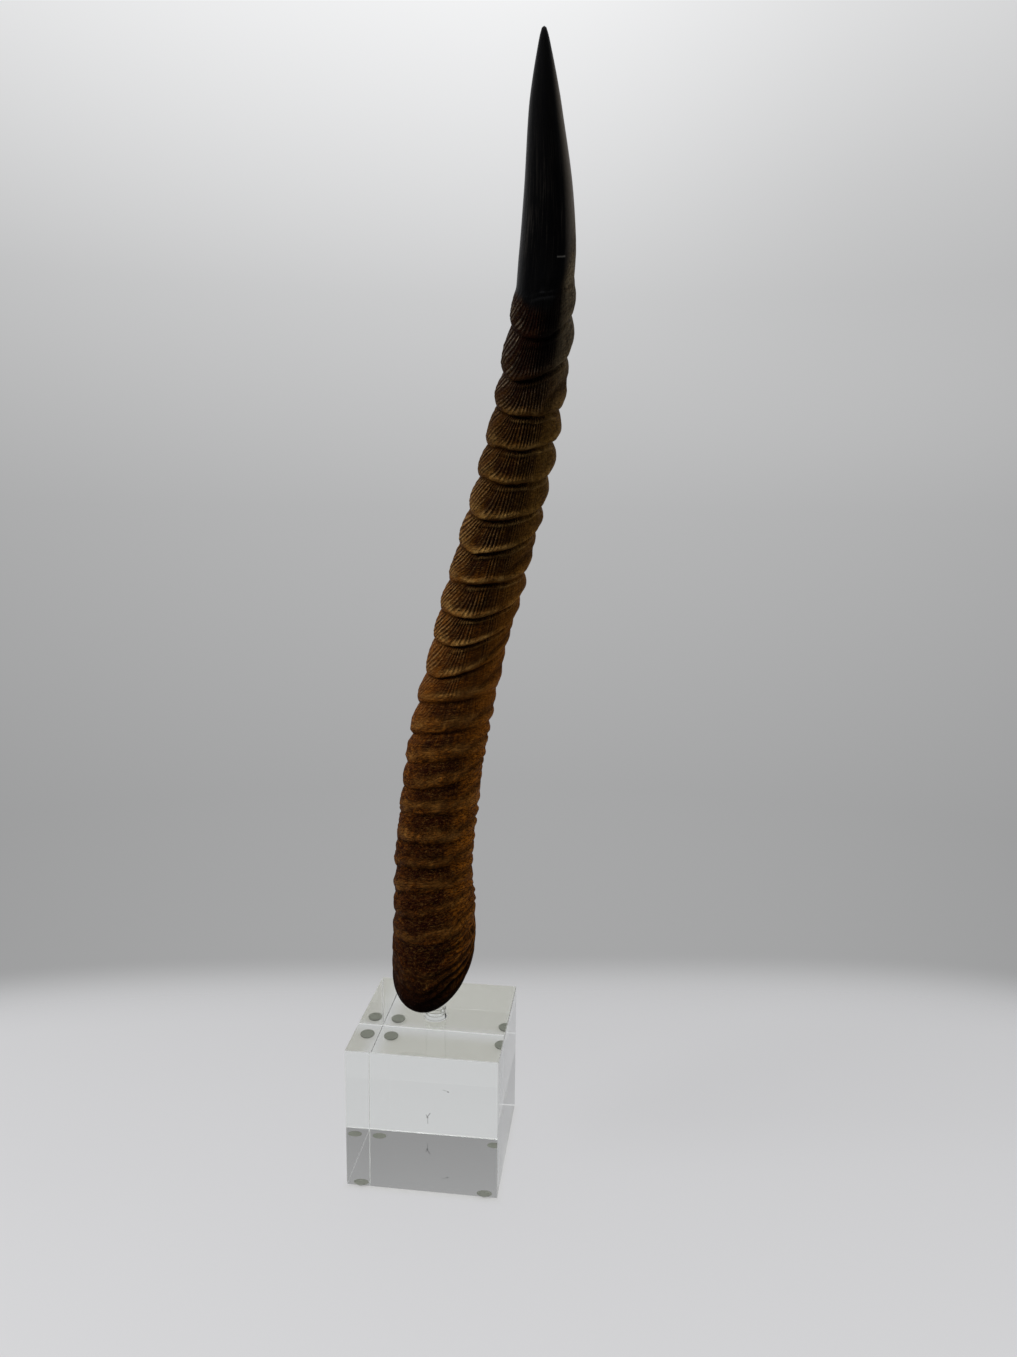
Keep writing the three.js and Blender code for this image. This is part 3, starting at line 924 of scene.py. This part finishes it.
def make_peg():
    """A round bar with shallow turning marks just above the block."""
    radius, low, high, edge, groove = PEG_RADIUS - 0.00002, peg_low.z - 0.00025, peg_high.z, 0.0003, 0.00012
    rows = rounded_foot(radius, low, edge)
    for z in TURNED[1:]:
        rows += [(radius, z - 0.0004), (radius - groove, z), (radius, z + 0.0004)]
    rows += [(radius, high - edge), (radius - edge * 0.3, high - edge * 0.3), (radius - edge, high)]
    peg = turned_piece("mounting_peg_clear", CENTRE, rows, BAR_SIDES)
    # A row of points at the block's top parts the glued stretch from the clear one
    bm = bmesh.new()
    bm.from_mesh(peg.data)
    parts = bm.verts[:] + bm.edges[:] + bm.faces[:]
    bmesh.ops.bisect_plane(bm, geom=parts, plane_co=(0, 0, TOP), plane_no=(0, 0, 1))
    bm.to_mesh(peg.data)
    bm.free()
    peg.data.materials.append(TURNED_ACRYLIC)
    peg.data.materials.append(GLUE)
    smooth_sides(peg)
    for face in peg.data.polygons:
        face.material_index = 1 if face.center.z < TOP else 0
    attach(peg, "root")
    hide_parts("mounting_peg")
    peg.visible_shadow = False


make_block()
make_peg()


# ---------------------------------------------------------------- pads

PAD_SIDES = 64
PAD_SHOULDER = 0.0011  # height where a pad is widest
PAD_DOME = 0.0015  # how much narrower its foot is than its stuck face


def pad_material():
    material, tree, shader, _ = new_material("grey_pad")
    grain = noise(tree, coordinates(tree), (1500.0, 1500.0, 1500.0), 3.0, 0.6)
    tone = blend(tree, spread(tree, grain, 0.3, 0.7), (100, 102, 92), (122, 124, 114))
    feed(tree, shader.inputs["Base Color"], tone)
    feed(tree, shader.inputs["Roughness"], spread(tree, grain, 0.3, 0.7, 0.75, 0.95))
    bump = add(tree, "ShaderNodeBump", {"Height": grain, "Strength": 0.4, "Distance": 0.0001})
    feed(tree, shader.inputs["Normal"], bump.outputs[0])
    return material


def make_pads():
    material = pad_material()
    for node in ("front_left_pad", "front_right_pad", "back_left_pad", "back_right_pad"):
        low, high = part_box(node)
        radius = (high.x - low.x) / 2
        top = BOTTOM + 0.00004
        rows = [(radius - PAD_DOME * (1 - z / PAD_SHOULDER) ** 1.4, z)
                for z in (0, 0.0002, 0.0004, 0.0006, 0.0008, 0.001)]
        rows += [(radius, PAD_SHOULDER), (radius, top - 0.0002), (radius - 0.0002, top)]
        pad = turned_piece(node + "_rubber", (low + high) / 2, rows, PAD_SIDES)
        pad.data.materials.append(material)
        smooth_sides(pad)
        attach(pad, "root")
        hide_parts(node)


make_pads()


# ---------------------------------------------------------------- floor, light and air

def grid_piece(name, segments, size):
    bm = bmesh.new()
    bmesh.ops.create_grid(bm, x_segments=segments, y_segments=segments, size=size)
    return link_mesh(name, bm)


def floor_material():
    """Pale, mostly by light of its own, and clear towards its edges."""
    material, tree, shader, output = new_material("pale_floor")
    across, depth, _ = apart(tree, coordinates(tree))
    x = maths(tree, "POWER", maths(tree, "ABSOLUTE", maths(tree, "DIVIDE", across, 0.52)), 4.0)
    y = total(tree, maths(tree, "SUBTRACT", depth, product(tree, across, 0.16)), 0.05)
    behind = maths(tree, "POWER", maths(tree, "DIVIDE", maths(tree, "MAXIMUM", y, 0.0), 0.229), 2.0)
    before = maths(tree, "POWER", maths(tree, "DIVIDE", maths(tree, "MINIMUM", y, 0.0), 0.7), 4.0)
    out = spread(tree, total(tree, x, total(tree, behind, before)), 0.58, 1.5)
    feed(tree, shader.inputs["Base Color"], colour((93, 93, 94)))
    # Painted shadow under the block: the glow is dimmer and warmer within its footprint
    sides = maths(tree, "MAXIMUM", maths(tree, "ABSOLUTE", across), maths(tree, "ABSOLUTE", depth))
    shade_beneath = spread(tree, sides, 0.028, 0.042, 1.0, 0.0)
    feed(tree, shader.inputs["Emission Color"], blend(tree, shade_beneath, (250, 250, 252), (221, 219, 208)))
    bright = maths(tree, "SUBTRACT", 0.508, product(tree, depth, 0.28))
    diffuse = add(tree, "ShaderNodeLightPath").outputs["Is Diffuse Ray"]
    bright = product(tree, bright, rest(tree, product(tree, diffuse, 0.7)))
    feed(tree, shader.inputs["Emission Strength"], bright)
    shader.inputs["Roughness"].default_value = 0.6
    shader.inputs["Specular IOR Level"].default_value = 0.2
    clear = add(tree, "ShaderNodeBsdfTransparent")
    mix = add(tree, "ShaderNodeMixShader", {0: out, 1: shader.outputs[0], 2: clear.outputs[0]})
    feed(tree, output.inputs["Surface"], mix.outputs[0])
    return material


def make_floor():
    """A pale table top whose edges melt into the grey behind it."""
    floor = grid_piece("floor", 8, 1.2)
    floor.location = (CENTRE.x, CENTRE.y, 0)
    floor.data.materials.append(floor_material())


def make_wall():
    """The grey wall close behind, seen only in reflections and through the clear acrylic."""
    wall = grid_piece("wall_in_glass", 2, 0.5)
    wall.rotation_euler = (math.radians(90), 0, math.radians(7))
    wall.location = CENTRE + Vector((0, 0.22, 0.5))
    material, tree, _, output = new_material("grey_wall")
    _, up, _ = apart(tree, coordinates(tree, "Generated"))
    glow = add(tree, "ShaderNodeEmission")
    tone = blend(tree, spread(tree, up, 0.0, 0.7), (129, 128, 129), (234, 234, 236))
    feed(tree, glow.inputs["Color"], tone)
    feed(tree, output.inputs["Surface"], glow.outputs[0])
    wall.data.materials.append(material)
    wall.visible_camera = wall.visible_diffuse = wall.visible_shadow = False


# Brightness of the air from straight down (0) to straight up (1)
SKY = [
    (0.0, 0.5), (0.28, 0.382), (0.36, 0.382), (0.5, 0.465),
    (0.6, 0.6), (0.71, 0.88), (0.85, 1.5), (1.0, 2.1),
]


def make_air():
    world = bpy.data.worlds.new("air")
    bpy.context.scene.world = world
    world.use_nodes = True
    tree = world.node_tree
    x, y, z = apart(tree, coordinates(tree, "Generated"))
    ramp = add(tree, "ShaderNodeValToRGB", {0: spread(tree, z, -1.0, 1.0, curve="LINEAR")})
    elements = ramp.color_ramp.elements
    while len(elements) < len(SKY):
        elements.new(0.5)
    for element, (at, value) in zip(elements, SKY):
        element.position = at
        element.color = (value, value * 1.004, value * 1.012, 1)
    background = tree.nodes["Background"]
    feed(tree, background.inputs["Color"], ramp.outputs[0])
    # The room in front of the table is dark: it lights nothing, but is pale where it would be seen itself
    ray = add(tree, "ShaderNodeLightPath").outputs
    through = product(tree, ray["Is Transmission Ray"], spread(tree, z, 0.3, 0.45, 1.0, 0.0))
    seen = maths(tree, "MAXIMUM", ray["Is Camera Ray"], through)
    ahead = spread(tree, product(tree, y, -1.0), -0.35, 0.35)
    dark = product(tree, ahead, spread(tree, z, 0.45, 0.85, 1.0, 0.0), rest(tree, seen), 0.94)
    soft = rest(tree, product(tree, ray["Is Diffuse Ray"], 0.5))
    # The wall is darker away from its middle, and high up on the right
    away = product(tree, maths(tree, "POWER", total(tree, x, 0.1), 2.0), 0.5)
    corner = product(tree, spread(tree, x, -0.15, 0.25), spread(tree, z, 0.05, 0.3), 0.13)
    fall = maths(tree, "SUBTRACT", rest(tree, away), corner)
    feed(tree, background.inputs["Strength"], product(tree, rest(tree, dark), soft, fall))


def make_lamp(name, place, size, watts):
    """A soft lamp that is aimed at the middle of the horn."""
    data = bpy.data.lights.new(name, "AREA")
    data.shape = "RECTANGLE"
    data.size, data.size_y = size
    data.energy = watts
    lamp = bpy.data.objects.new(name, data)
    lamp.location = Vector(place)
    aim = CENTRE + Vector((0.03, 0, 0.25)) - lamp.location
    lamp.rotation_euler = aim.to_track_quat("-Z", "Y").to_euler()
    lamp.visible_glossy = lamp.visible_transmission = False
    bpy.context.scene.collection.objects.link(lamp)


make_floor()
make_wall()
make_air()
make_lamp("top_left_light", (-1.0, -0.35, 0.95), (0.5, 0.5), 13.0)
make_lamp("right_light", (1.0, 0.25, 0.6), (0.4, 0.6), 4.0)
bpy.context.scene.view_settings.view_transform = "Standard"
